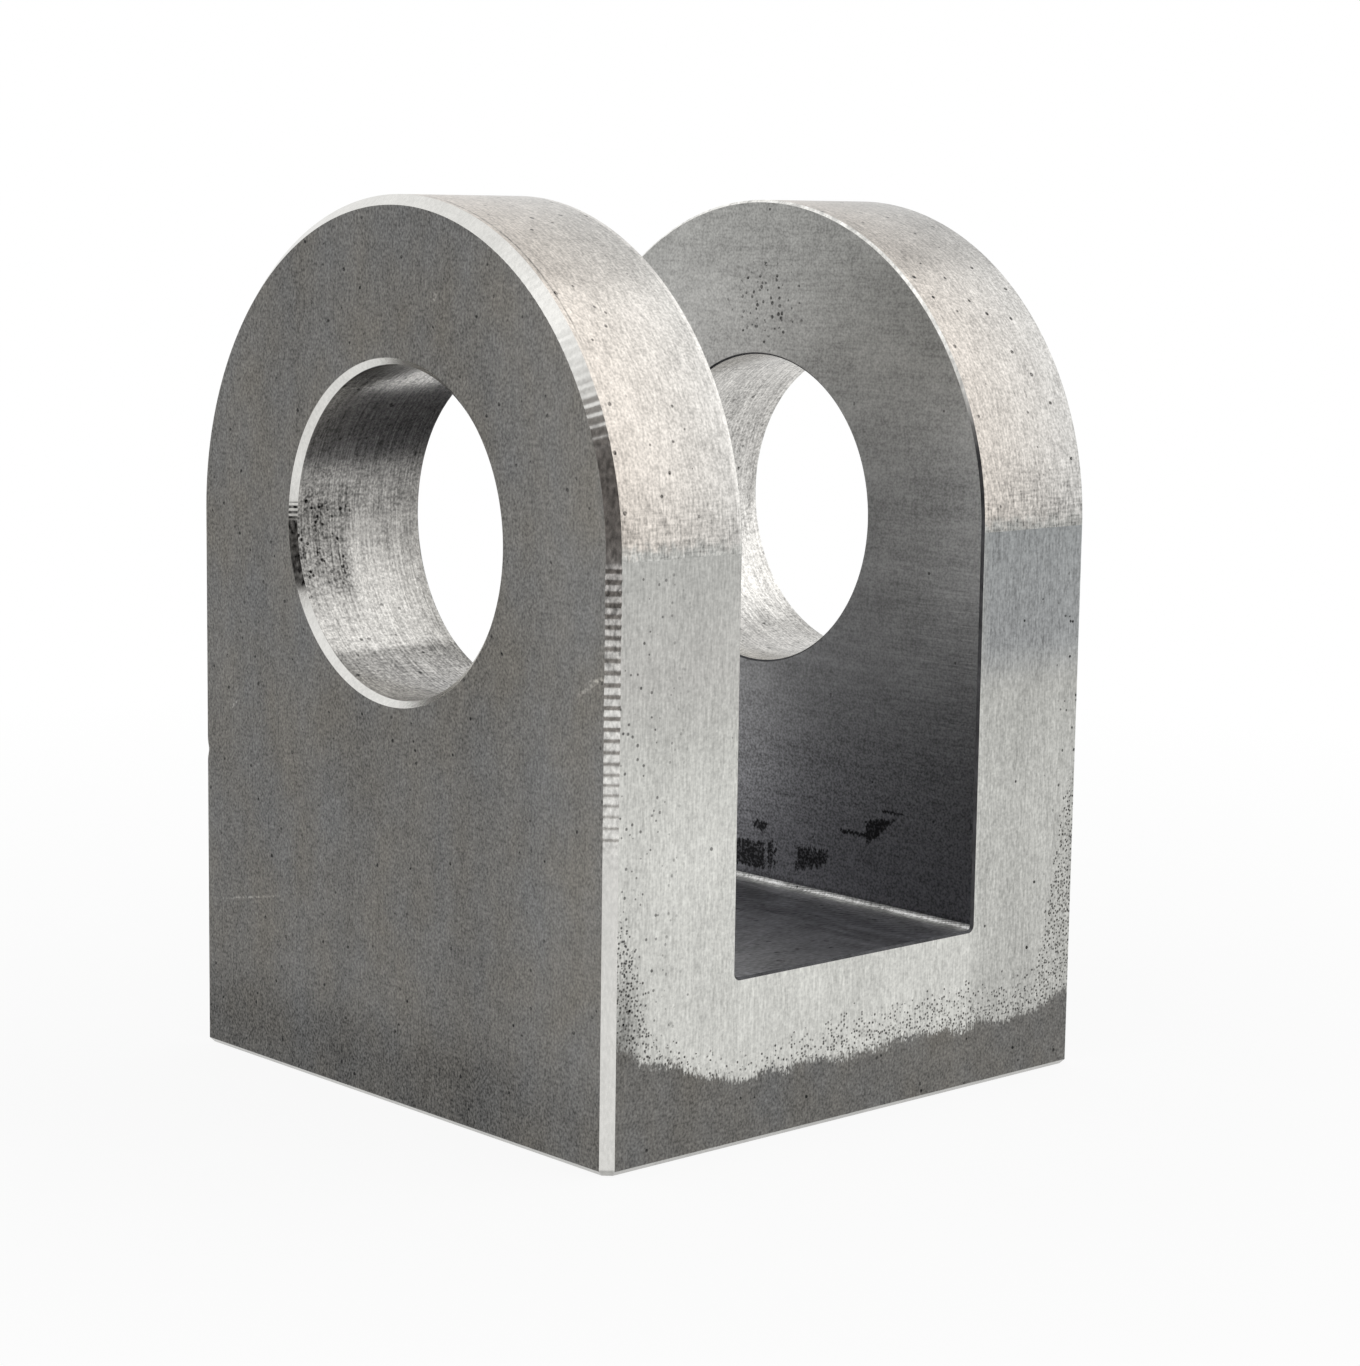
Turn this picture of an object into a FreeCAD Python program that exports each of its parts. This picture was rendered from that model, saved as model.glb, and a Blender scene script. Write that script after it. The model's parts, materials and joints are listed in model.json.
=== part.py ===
import FreeCAD, Part

import math
import os

from FreeCAD import Vector

# Weld-on clevis, cut from one length of square steel bar.
# The weld face lies on z = 0 with the origin at its centre.
# The pin bore runs along X through both ears, and the slot between the ears runs along Y.

# Driving dimensions, in millimetres
bar_width = 50.8             # square bar, measured along Y; the ears end in a full radius of half of it
ear_span = 50.8              # over the outer faces of the two ears, along X
bore_height = 44.45          # weld face to the axis of the pin bore
bore_diameter = 25.5         # takes a pin of one inch with running clearance
slot_width = 25.7            # takes a rod eye one inch wide
base_thickness = 12.9        # weld face to the floor of the slot
slot_floor_radius = 0.4      # left by the corners of the slot cutter
outline_chamfer = 0.8        # round the outline of both outer faces
bore_mouth_chamfer = 0.5     # at the outer end of the bore in each ear
bore_inner_break = 0.15      # at the inner end of the bore in each ear
slot_edge_break = 0.2        # where the slot meets the outline
base_edge_break = 0.4        # round the weld face
cut_overrun = 5.0            # how far a cutting shape stands out of the steel

# Sizes that follow from them
half_width = bar_width / 2
half_span = ear_span / 2
half_slot = slot_width / 2
crown_radius = half_width
crown_top = bore_height + crown_radius
bore_radius = bore_diameter / 2

# Two places closer than this are the same
same_place = 1e-4


def is_at(value, place):
    return abs(value - place) < same_place


def edges_where(shape, wanted):
    # The edges whose middle point passes the test
    middles = [(edge, edge.valueAt((edge.FirstParameter + edge.LastParameter) / 2)) for edge in shape.Edges]
    return [edge for edge, middle in middles if wanted(middle)]


def on_outline(point):
    # On one of the two flanks, or above them on the round crown
    if point.z > bore_height:
        return is_at(math.hypot(point.y, point.z - bore_height), crown_radius)
    return is_at(abs(point.y), half_width)


def bar_profile():
    # Side view in the YZ plane at one outer face: two straight flanks under a half circle
    front_foot = Vector(-half_span, -half_width, 0)
    rear_foot = Vector(-half_span, half_width, 0)
    rear_shoulder = Vector(-half_span, half_width, bore_height)
    front_shoulder = Vector(-half_span, -half_width, bore_height)
    crown = Vector(-half_span, 0, crown_top)
    return Part.Wire([
        Part.LineSegment(front_foot, rear_foot).toShape(),
        Part.LineSegment(rear_foot, rear_shoulder).toShape(),
        Part.Arc(rear_shoulder, crown, front_shoulder).toShape(),
        Part.LineSegment(front_shoulder, front_foot).toShape(),
    ])


def blank():
    # The bar with its rounded end, chamfered round both outer faces and broken round the weld face
    bar = Part.Face(bar_profile()).extrude(Vector(ear_span, 0, 0))

    def on_outer_face_outline(point):
        return is_at(abs(point.x), half_span) and on_outline(point)

    def on_weld_face(point):
        return is_at(point.z, 0)

    chamfered = bar.makeChamfer(outline_chamfer, edges_where(bar, on_outer_face_outline))
    return chamfered.makeChamfer(base_edge_break, edges_where(chamfered, on_weld_face))


def slot_tool():
    # What the slot cutter takes out: a block with rounded lower edges, longer and higher than the bar
    corner = Vector(-half_slot, -half_width - cut_overrun, base_thickness)
    length = bar_width + 2 * cut_overrun
    height = crown_top + cut_overrun - base_thickness
    block = Part.makeBox(slot_width, length, height, corner)

    def along_floor(point):
        return is_at(point.z, base_thickness) and is_at(abs(point.x), half_slot)

    return block.makeFillet(slot_floor_radius, edges_where(block, along_floor))


def bore_tool():
    # A turned shape on the bore axis: the bore, a chamfer at each outer mouth and a break at each inner end
    tool_end = half_span + cut_overrun
    flared_radius = bore_radius + bore_mouth_chamfer + cut_overrun
    half_outline = [
        (tool_end, 0),
        (tool_end, flared_radius),
        (half_span - bore_mouth_chamfer, bore_radius),
        (half_slot + bore_inner_break, bore_radius),
        (half_slot, bore_radius + bore_inner_break),
    ]
    outline = half_outline + [(-x, radius) for x, radius in reversed(half_outline)]
    points = [Vector(x, 0, bore_height + radius) for x, radius in outline]
    section = Part.Face(Part.makePolygon(points + points[:1]))
    return section.revolve(Vector(0, 0, bore_height), Vector(1, 0, 0), 360)


def clevis():
    # The slotted bar, its slot broken all round where it meets the outline, then bored through both ears
    slotted = blank().cut(slot_tool())

    def on_slot_mouth(point):
        in_slot = abs(point.x) < half_slot + same_place and point.z > base_thickness - same_place
        return in_slot and on_outline(point)

    broken = slotted.makeChamfer(slot_edge_break, edges_where(slotted, on_slot_mouth))
    return broken.cut(bore_tool())


os.makedirs("parts", exist_ok=True)
part = clevis()
part.exportStep("parts/clevis.step")
print("clevis:", len(part.Solids), "solid,", "valid" if part.isValid() else "NOT VALID")
print("volume %.2f mm3, height %.2f mm" % (part.Volume, part.BoundBox.ZLength))
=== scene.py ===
# %% [markdown]
# # A weld-on clevis of square steel bar
# The imported model comes first. It fixes where everything lies, in metres: the weld face lies at
# height 0, the pin bore runs along X and the slot along Y. Its box gives the sizes that follow.

# %% Load the frame
import json
import math

import bpy
from mathutils import Matrix, Quaternion, Vector


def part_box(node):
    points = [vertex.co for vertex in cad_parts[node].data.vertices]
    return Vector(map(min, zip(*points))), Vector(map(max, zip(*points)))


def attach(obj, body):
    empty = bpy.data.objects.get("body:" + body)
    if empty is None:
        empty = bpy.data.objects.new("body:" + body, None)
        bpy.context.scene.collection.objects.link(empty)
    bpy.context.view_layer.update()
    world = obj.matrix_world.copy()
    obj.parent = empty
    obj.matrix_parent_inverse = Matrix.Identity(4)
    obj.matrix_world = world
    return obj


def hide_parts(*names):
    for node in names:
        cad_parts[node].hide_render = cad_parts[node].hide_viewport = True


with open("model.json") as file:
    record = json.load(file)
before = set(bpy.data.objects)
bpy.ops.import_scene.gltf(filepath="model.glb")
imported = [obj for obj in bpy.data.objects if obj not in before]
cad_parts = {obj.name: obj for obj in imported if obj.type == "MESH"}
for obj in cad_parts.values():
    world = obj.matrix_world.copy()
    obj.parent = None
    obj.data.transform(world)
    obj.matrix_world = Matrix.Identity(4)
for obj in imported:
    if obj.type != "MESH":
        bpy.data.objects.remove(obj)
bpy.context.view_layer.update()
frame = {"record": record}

# %% [markdown]
# ## Sizes
# The bar's width, the span over the ears and the bore are read from the frame, so the dressed piece
# can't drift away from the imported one. The smaller cuts are written here in millimetres, as a
# machinist would call them out.

# %% Sizes
mm = 0.001
node_low, node_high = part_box("clevis")
pin_bore = next(mount for mount in frame["record"]["mounts"] if mount["name"] == "pin_bore")

bar_width = node_high.y - node_low.y
ear_span = node_high.x - node_low.x
bore_height = pin_bore["pos_m"][2]
bore_radius = pin_bore["dims"]["r_mm"] * mm
slot_width = 25.7 * mm
base_thickness = 12.9 * mm
slot_floor_radius = 0.4 * mm
outline_chamfer = 0.8 * mm
bore_mouth_chamfer = 0.5 * mm
bore_inner_break = 0.15 * mm
slot_edge_break = 0.2 * mm
base_edge_break = 0.4 * mm

half_width = bar_width / 2
half_span = ear_span / 2
half_slot = slot_width / 2
crown_radius = half_width
crown_top = bore_height + crown_radius
measures = (bar_width / mm, 2 * bore_radius / mm, crown_top / mm)
print("bar %.1f mm square, bore %.1f mm, %.2f mm high" % measures)

# %% [markdown]
# ## Choosing what an operator acts on
# By hand you would click the edges to bevel. A script picks them by where they are. This helper
# selects the vertices or edges whose middle passes a test, and leaves the piece open in edit mode
# for the next operator.

# %% Selection helpers
hair = 0.0005 * mm


def is_at(value, place):
    return abs(value - place) < hair


def open_for_editing(piece):
    if bpy.context.mode != "OBJECT":
        bpy.ops.object.mode_set(mode="OBJECT")
    bpy.ops.object.select_all(action="DESELECT")
    bpy.context.view_layer.objects.active = piece
    piece.select_set(True)
    bpy.ops.object.mode_set(mode="EDIT")


def select(piece, kind, wanted):
    open_for_editing(piece)
    bpy.ops.mesh.select_mode(type=kind)
    bpy.ops.mesh.select_all(action="DESELECT")
    bpy.ops.object.mode_set(mode="OBJECT")
    points = [vertex.co for vertex in piece.data.vertices]
    if kind == "VERT":
        parts = [(vertex, vertex.co) for vertex in piece.data.vertices]
    else:
        edges = [(edge, *edge.vertices) for edge in piece.data.edges]
        parts = [(edge, (points[first] + points[second]) / 2) for edge, first, second in edges]
    picked = 0
    for part, middle in parts:
        part.select = bool(wanted(middle))
        picked += part.select
    bpy.ops.object.mode_set(mode="EDIT")
    return picked


def on_outline(point):
    # On one of the two flanks, or above them on the round crown
    if point.z > bore_height:
        return is_at(math.hypot(point.y, point.z - bore_height), crown_radius)
    return is_at(abs(point.y), half_width)


print("places closer than %.4f mm count as one" % (hair / mm))

# %% [markdown]
# ## The bar and its rounded end
# The real block is sawn from square bar and its end is turned or milled to a full radius about the
# pin. The same outline is drawn here: a circle round the bore's axis loses its lower half, its two
# ends are pulled down to the weld face, and the closed outline is filled and extruded along the
# bar. The circle is cut into short steps because the cutter's chatter marks on the chamfer are
# drawn with the same points later.

# %% Bar
point_spacing = 0.1 * mm
crown_steps = 2 * round(math.pi * crown_radius / point_spacing / 2)

bpy.ops.object.select_all(action="DESELECT")
bpy.ops.mesh.primitive_circle_add(
    vertices=2 * crown_steps,
    radius=crown_radius,
    location=(-half_span, 0, bore_height),
    rotation=(0, math.radians(90), 0),
)
clevis = bpy.context.object
clevis.name = "finished_clevis"
clevis.data.name = "finished_clevis"
bpy.ops.object.transform_apply(location=True, rotation=True, scale=True)

select(clevis, "VERT", lambda point: point.z < bore_height - hair)
bpy.ops.mesh.delete(type="VERT")
ends = select(clevis, "VERT", lambda point: is_at(point.z, bore_height))
bpy.ops.mesh.extrude_region_move(TRANSFORM_OT_translate={"value": (0, 0, -bore_height)})
bpy.ops.mesh.edge_face_add()
bpy.ops.mesh.select_all(action="SELECT")
bpy.ops.mesh.edge_face_add()
bpy.ops.mesh.extrude_region_move(TRANSFORM_OT_translate={"value": (ear_span, 0, 0)})
bpy.ops.mesh.select_all(action="SELECT")
bpy.ops.mesh.normals_make_consistent(inside=False)
print("bar drawn with", ends, "flanks and", crown_steps, "steps round the crown")

# %% [markdown]
# ## Chamfers on the bar
# A chamfer runs round the whole outline of both outer faces, and a smaller edge break runs round
# the weld face. A bevel of one segment is a chamfer. It is cut before the slot, so it meets no
# other edge on its way.

# %% Outer chamfers
def bevel_where(piece, size, wanted, segments=1):
    count = select(piece, "EDGE", wanted)
    bpy.ops.mesh.bevel(
        offset_type="OFFSET", offset=size, segments=segments, affect="EDGES", clamp_overlap=False
    )
    return count


outline_edges = bevel_where(
    clevis, outline_chamfer, lambda point: is_at(abs(point.x), half_span) and on_outline(point)
)
foot_edges = bevel_where(clevis, base_edge_break, lambda point: is_at(point.z, 0))
print("chamfered", outline_edges, "outline edges and", foot_edges, "edges round the weld face")

# %% [markdown]
# ## The slot
# The slot is milled right through. The cutter here is a cube at the slot's place whose lower edges
# are bevelled round, as the cutter's corners are, and a boolean takes it away from the bar. The
# edges that it leaves on the outline are then broken by a small bevel.

# %% Slot
def take_away(piece, cutter):
    bpy.ops.object.mode_set(mode="OBJECT")
    bpy.ops.object.select_all(action="DESELECT")
    bpy.context.view_layer.objects.active = piece
    cut = piece.modifiers.new(cutter.name, "BOOLEAN")
    cut.operation = "DIFFERENCE"
    cut.solver = "EXACT"
    cut.object = cutter
    bpy.ops.object.modifier_apply(modifier=cut.name)
    bpy.data.objects.remove(cutter)


overrun = 5 * mm
slot_corner_steps = 8
cutter_height = crown_top + overrun - base_thickness

bpy.ops.object.mode_set(mode="OBJECT")
bpy.ops.object.select_all(action="DESELECT")
bpy.ops.mesh.primitive_cube_add(
    size=1,
    location=(0, 0, base_thickness + cutter_height / 2),
    scale=(slot_width, bar_width + 2 * overrun, cutter_height),
)
slot_cutter = bpy.context.object
slot_cutter.name = "slot_cutter"
bpy.ops.object.transform_apply(location=True, rotation=True, scale=True)
bevel_where(
    slot_cutter,
    slot_floor_radius,
    lambda point: is_at(point.z, base_thickness) and is_at(abs(point.x), half_slot),
    slot_corner_steps,
)
take_away(clevis, slot_cutter)


def on_slot_mouth(point):
    in_slot = abs(point.x) < half_slot + hair and point.z > base_thickness - hair
    return in_slot and on_outline(point)


mouth_edges = bevel_where(clevis, slot_edge_break, on_slot_mouth)
print("slot cut, and", mouth_edges, "edges of its mouth broken")

# %% [markdown]
# ## The pin bore
# One drill goes through both ears on one axis. The mouths on the outer faces are countersunk a
# little, and the inner ends have only their burr taken off.

# %% Pin bore
bore_steps = 256
bore_slack = 0.01 * mm

bpy.ops.object.mode_set(mode="OBJECT")
bpy.ops.object.select_all(action="DESELECT")
bpy.ops.mesh.primitive_cylinder_add(
    vertices=bore_steps,
    radius=bore_radius,
    depth=ear_span + 2 * overrun,
    location=(0, 0, bore_height),
    rotation=(0, math.radians(90), 0),
)
bore_cutter = bpy.context.object
bore_cutter.name = "bore_cutter"
bpy.ops.object.transform_apply(location=True, rotation=True, scale=True)
take_away(clevis, bore_cutter)


def on_bore(point):
    # The middle of an edge lies a little inside the circle
    return abs(math.hypot(point.y, point.z - bore_height) - bore_radius) < bore_slack


outer_mouths = bevel_where(
    clevis, bore_mouth_chamfer, lambda point: is_at(abs(point.x), half_span) and on_bore(point)
)
inner_ends = bevel_where(
    clevis, bore_inner_break, lambda point: is_at(abs(point.x), half_slot) and on_bore(point)
)
bpy.ops.object.mode_set(mode="OBJECT")
print("bore cut with", outer_mouths, "mouth edges and", inner_ends, "inner edges")

# %% [markdown]
# ## Chatter on the outer chamfers
# The chamfering tool rattled as it went round the outline, and left a row of shallow scallops with
# sharp ridges between them. Each scallop has a long side that catches the light and a short steep
# one that stays dark. Bump alone wouldn't show their edge, so they are real and cut into the mesh.
# First comes the depth of the cut at any place. The tool rattled only on some stretches, which are
# listed by their distance along the outline from the foot of the front flank. The far ear has the
# same ones, counted from its rear foot, as the part was turned over between the two. A small knock
# on the rear edge of the near ear is cut the same way.

# %% Depth of the chatter
outline_length = 2 * bore_height + math.pi * crown_radius

chatter_pitch = 0.8 * mm
long_share = 0.68  # of each scallop, on its long side
fade = 0.8 * mm
chatter_stretches = [
    # from, to, depth
    (24 * mm, 33 * mm, 0.03 * mm),
    (32.2 * mm, 44.6 * mm, 0.05 * mm),
    (46.5 * mm, 48.5 * mm, 0.012 * mm),
    (52.5 * mm, 57 * mm, 0.032 * mm),
    (56.5 * mm, 62.5 * mm, 0.024 * mm),
    (62 * mm, 73 * mm, 0.014 * mm),
]
knock_place = outline_length - 24.7 * mm
knock_width = 0.5 * mm
knock_depth = 0.12 * mm


def along_outline(point):
    # Distance from the foot of the front flank, up over the crown and down the rear flank
    if point.z <= bore_height:
        return point.z if point.y < 0 else outline_length - point.z
    return bore_height + crown_radius * math.atan2(point.z - bore_height, -point.y)


def ramp(place, start, end):
    share = min(max((place - start) / (end - start), 0), 1)
    return share * share * (3 - 2 * share)


def cut_depth(point):
    place = along_outline(point)
    far_ear = point.x > 0
    if far_ear:
        place = outline_length - place
    # The turns drift a little and some bite deeper, or they would look like the teeth of a file
    wander = 0.1 * math.sin(place / (2.3 * mm)) + 0.07 * math.sin(place / (0.9 * mm))
    uneven = 0.8 + 0.2 * math.sin(place / (1.7 * mm) + 1)
    turn = (place / chatter_pitch + wander) % 1
    scallop = uneven * max(1 - turn / long_share, (turn - long_share) / (1 - long_share))
    depth = 0
    for start, end, deepest in chatter_stretches:
        share = ramp(place, start, start + fade) * (1 - ramp(place, end - fade, end))
        depth += deepest * scallop * share
    if not far_ear:
        depth += knock_depth * math.exp(-(((place - knock_place) / knock_width) ** 2))
    return depth


print("chatter on", len(chatter_stretches), "stretches of an outline %.1f mm long" % (outline_length / mm))

# %% [markdown]
# ## Points to cut it with
# The crown already has a point every 0.1 mm, but on the flanks the chamfer's edges are one long
# line each. They are divided as finely, in two rounds, since one call makes 100 cuts at most. One
# corner is divided at a time, because two divided edges of one face would be joined across it.

# %% Finer flank edges
flank_foot = base_edge_break
flank_cuts = 20
flank_rounds = 2

for ear in (-1, 1):
    for side in (-1, 1):

        def on_corner(point):
            if not flank_foot < point.z < bore_height:
                return False
            x, y = ear * point.x, side * point.y
            on_face_side = is_at(x, half_span) and is_at(y, half_width - outline_chamfer)
            on_flank_side = is_at(x, half_span - outline_chamfer) and is_at(y, half_width)
            return on_face_side or on_flank_side

        for division in range(flank_rounds):
            select(clevis, "EDGE", on_corner)
            bpy.ops.mesh.subdivide(number_cuts=flank_cuts)
bpy.ops.object.mode_set(mode="OBJECT")
flank_spacing = (bore_height - flank_foot) / (flank_cuts + 1) ** flank_rounds
print("flank edges divided every %.3f mm" % (flank_spacing / mm))

# %% [markdown]
# ## Cutting the chatter
# Each point on the two long edges of a chamfer slides inwards within the flat face beside it, so
# the face stays flat. The chamfer lies at 45 degrees, and a point that slides by the depth times
# the root of two sinks it by that depth.

# %% Cut the chatter
inner_radius = crown_radius - outline_chamfer
deepest_cut = 0
moved = 0
for vertex in clevis.data.vertices:
    point = vertex.co
    above = max(point.z - bore_height, 0)
    reach = math.hypot(point.y, above)
    if point.z < flank_foot + point_spacing / 2:
        continue
    on_face_side = is_at(abs(point.x), half_span) and is_at(reach, inner_radius)
    on_flank_side = is_at(abs(point.x), half_span - outline_chamfer) and is_at(reach, crown_radius)
    if not (on_face_side or on_flank_side):
        continue
    shift = math.sqrt(2) * cut_depth(point)
    if on_face_side:
        point.y -= shift * point.y / reach
        point.z -= shift * above / reach
    else:
        point.x -= math.copysign(shift, point.x)
    moved += 1
    deepest_cut = max(deepest_cut, shift / math.sqrt(2))
print("chatter:", moved, "points of the chamfers, deepest cut %.3f mm" % (deepest_cut / mm))

# %% [markdown]
# ## Smooth and sharp
# The crown, the bores and the slot's corners are round, and everything else meets at an edge.
# Shading by angle keeps both: faces that turn by less than the angle are smooth, and the chamfers
# stay crisp.

# %% Shading
round_below = 18

bpy.ops.object.select_all(action="DESELECT")
bpy.context.view_layer.objects.active = clevis
clevis.select_set(True)
bpy.ops.object.shade_smooth_by_angle(angle=math.radians(round_below))
print("smooth where faces turn by less than", round_below, "degrees")

# %% [markdown]
# ## How a finish is written
# Every finish is a small network of nodes, and one helper adds a node, sets it and wires it. An
# input is given as a plain value, or as the node or the output that feeds it. Colours are written
# as the hex values that you would read off a screen, and turned into the linear values that the
# renderer works with.

# %% Nodes and colours
def hex_colour(text):
    channels = [int(text[i : i + 2], 16) / 255 for i in (1, 3, 5)]
    linear = [c / 12.92 if c <= 0.04045 else ((c + 0.055) / 1.055) ** 2.4 for c in channels]
    return (*linear, 1)


def add(tree, kind, settings=None, inputs=None):
    node = tree.nodes.new("ShaderNode" + kind)
    for name, value in (settings or {}).items():
        setattr(node, name, value)
    for name, value in (inputs or {}).items():
        if isinstance(name, int):
            socket = node.inputs[name]
        else:
            socket = next(entry for entry in node.inputs if entry.name == name and entry.enabled)
        if isinstance(value, bpy.types.Node):
            value = next(output for output in value.outputs if output.enabled)
        if isinstance(value, bpy.types.NodeSocket):
            tree.links.new(value, socket)
        else:
            socket.default_value = value
    return node


print("screen grey #808080 is %.3f in linear light" % hex_colour("#808080")[0])

# %% [markdown]
# ## Grain laid out in millimetres
# All patterns sit on the object's own coordinates, divided by real lengths. A streak is then as
# long as on the real part from whichever side you look, and a pattern on one face runs on over the
# edge as steel does. A pixel of the picture covers about 0.08 mm of the part, so grain finer than
# about 0.2 mm can't show. Where the real one is finer, it is drawn at about that size, and the text
# of the finish says so.

# %% Places and grain
times = {"operation": "MULTIPLY"}
scaled_by = {"operation": "SCALE"}
finest = 0.2


def place_in_mm(tree):
    place = add(tree, "TexCoord").outputs["Object"]
    scaled = add(tree, "VectorMath", scaled_by, {"Vector": place, "Scale": 1 / mm})
    return add(tree, "SeparateXYZ", inputs={"Vector": scaled})


def grain(tree, lengths, detail=2.0, warp=0.0):
    # Soft noise from -0.5 to 0.5 whose blotches have these lengths along X, Y and Z
    place = add(tree, "TexCoord").outputs["Object"]
    scale = [1 / (length * mm) for length in lengths]
    stretched = add(tree, "Mapping", inputs={"Vector": place, "Scale": scale})
    looks = {"Scale": 1.0, "Detail": detail, "Distortion": warp}
    noise = add(tree, "TexNoise", inputs={"Vector": stretched, **looks})
    limits = {"From Min": 0.3, "From Max": 0.7, "To Min": -0.5, "To Max": 0.5}
    return add(tree, "MapRange", inputs={"Value": noise.outputs["Fac"], **limits})


print("no grain is drawn finer than", finest, "mm")

# %% [markdown]
# ## Pits
# Steel is rarely without small dark pits. A cell pattern spreads them evenly without lining them
# up: each cell may hold one. A second draw decides whether it does, and how large the pit is. That
# draw is needed, because the colour of a cell also tells where its point lies, and pits picked by
# the colour alone would gather at one side of their cells and miss the flat faces.

# %% Pits
def pits(tree, spacing, radius, share):
    # 1 inside a pit; this share of the cells has one, and the largest have this radius
    place = add(tree, "TexCoord").outputs["Object"]
    cell = add(tree, "TexVoronoi", inputs={"Vector": place, "Scale": 1 / (spacing * mm)})
    chance = add(tree, "TexWhiteNoise", inputs={"Vector": cell.outputs["Color"]}).outputs["Value"]
    largest = radius / spacing
    limits = {"From Min": 1 - share, "From Max": 1 - share / 2, "To Min": 0.0, "To Max": largest}
    size = add(tree, "MapRange", inputs={"Value": chance, **limits})
    inside = add(tree, "Math", {"operation": "SUBTRACT"}, {0: size, 1: cell.outputs["Distance"]})
    limits = {"From Min": 0.0, "From Max": 0.25 * largest}
    return add(tree, "MapRange", inputs={"Value": inside, **limits})


# %% [markdown]
# ## Zones and layers
# Wear, oil and heat mark only part of a face. A zone is 1 there and 0 elsewhere, with a soft edge
# at each of its limits. The patterns only say how much lighter or darker the metal is at a place,
# so they can be laid over each other: each layer adds its pattern times a strength, and a zone
# named beside it keeps it to its place.

# %% Zones and layers
def zone(tree, *limits):
    # Each limit has a coordinate, the place where the zone starts and the place where it is full
    inside = None
    for value, start, full in limits:
        edge = {"Value": value, "From Min": start, "From Max": full}
        edge = add(tree, "MapRange", {"interpolation_type": "SMOOTHSTEP"}, edge)
        inside = edge if inside is None else add(tree, "Math", times, {0: inside, 1: edge})
    return inside


def layered(tree, layers, start=1.0):
    # Each layer is a pattern, the zones that it keeps to, if any, and its strength
    level = start
    for pattern, *zones, strength in layers:
        for place in zones:
            pattern = add(tree, "Math", times, {0: pattern, 1: place})
        level = add(tree, "Math", {"operation": "MULTIPLY_ADD"}, {0: pattern, 1: strength, 2: level})
    return level


# %% [markdown]
# ## The metal itself
# Steel is a metal throughout, and what differs from face to face is how it was cut. Where a belt or
# a cutter has left fine parallel grooves, the highlight spreads across them and stays narrow along
# them. That is what anisotropy does, and its tangent here points across the grooves. A number that
# holds for the whole face is set on the shader itself, and only what varies is wired.

# %% Metal
def new_finish(name):
    material = bpy.data.materials.new(name)
    material.use_nodes = True
    material.node_tree.nodes.clear()
    return material, material.node_tree


def metal(material, colour, roughness, height, depth, metallic=1.0, grooves=0.0, across=None):
    # The height pattern is this many millimetres deep
    tree = material.node_tree
    bump = add(tree, "Bump", inputs={"Height": height, "Distance": depth * mm})
    inputs = {"Base Color": colour, "Metallic": metallic, "Roughness": roughness, "Normal": bump}
    if across:
        inputs["Anisotropic"] = grooves
        inputs["Tangent"] = add(tree, "CombineXYZ", inputs=dict(zip("XYZ", across)))
    shader = add(tree, "BsdfPrincipled", inputs=inputs)
    add(tree, "OutputMaterial", inputs={"Surface": shader})
    print("%s: %d nodes" % (material.name, len(tree.nodes)))


# %% [markdown]
# ## Mill skin
# The two outer faces are the bar as it left the mill: mild steel under a thin, dark grey oxide,
# pickled and oiled but not cut. It is matte and even, with a fine grain, faint bands along the bar
# and tiny pits. The oxide is half a metal to the eye, so its metallic value is 0.6. Its grain is
# drawn at 0.2 mm, about three times as coarse as it is, because it wouldn't show otherwise. The
# flanks carry the same skin at their foot, so it has its own helpers.

# %% Skin
skin_pits = {"spacing": 1.3, "radius": 0.17, "share": 0.65}


def skin_level(tree):
    fine = grain(tree, (finest, finest, 0.24), detail=1)
    blotches = grain(tree, (0.6, 0.6, 0.8), detail=2)
    bands = grain(tree, (2.5, 2.5, 40))
    clouds = grain(tree, (9, 9, 14), detail=3)
    specks = pits(tree, **skin_pits)
    layers = [(fine, 0.85), (blotches, 0.34), (bands, 0.1), (clouds, 0.15), (specks, -0.75)]
    return layered(tree, layers)


def skin_colour(tree):
    # Oxide is a neutral grey that turns a little blue or brown in patches
    tint = grain(tree, (5, 5, 8), detail=3)
    share = add(tree, "MapRange", inputs={"Value": tint, "From Min": -0.5, "From Max": 0.5})
    bluish, brownish = hex_colour("#737372"), hex_colour("#75726C")
    return add(tree, "Mix", {"data_type": "RGBA"}, {"Factor": share, "A": bluish, "B": brownish})


pits_per_cm2 = skin_pits["share"] * (10 / skin_pits["spacing"]) ** 2
print("about %.0f pits on a square centimetre of skin" % pits_per_cm2)

# %% [markdown]
# ## Scratches in the skin
# A few bright scratches show where something hard has rubbed through the oxide. Each is a straight
# mark between two points of the face, full on its line and gone a width away, and a coarse grain
# breaks it up. The front of the near face is also a little lighter, and its foot is darker.

# %% Outer faces
def stroke(tree, across, up, start, end, width):
    (x0, y0), (x1, y1) = start, end
    length = math.hypot(x1 - x0, y1 - y0)
    run, rise = (x1 - x0) / length, (y1 - y0) / length
    spot = add(tree, "CombineXYZ", inputs={"X": across, "Y": up})
    dot = {"operation": "DOT_PRODUCT"}
    along = add(tree, "VectorMath", dot, {0: spot, 1: (run, rise, 0)}).outputs["Value"]
    aside = add(tree, "VectorMath", dot, {0: spot, 1: (-rise, run, 0)}).outputs["Value"]
    away = add(tree, "Math", {"operation": "SUBTRACT"}, {0: aside, 1: run * y0 - rise * x0})
    distance = add(tree, "Math", {"operation": "ABSOLUTE"}, {0: away})
    begin = run * x0 + rise * y0
    finish = begin + length
    on_line = (distance, width, 0.2 * width)
    begun = (along, begin, begin + 0.3 * length)
    unfinished = (along, finish, finish - 0.2 * length)
    return zone(tree, on_line, begun, unfinished)


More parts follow.
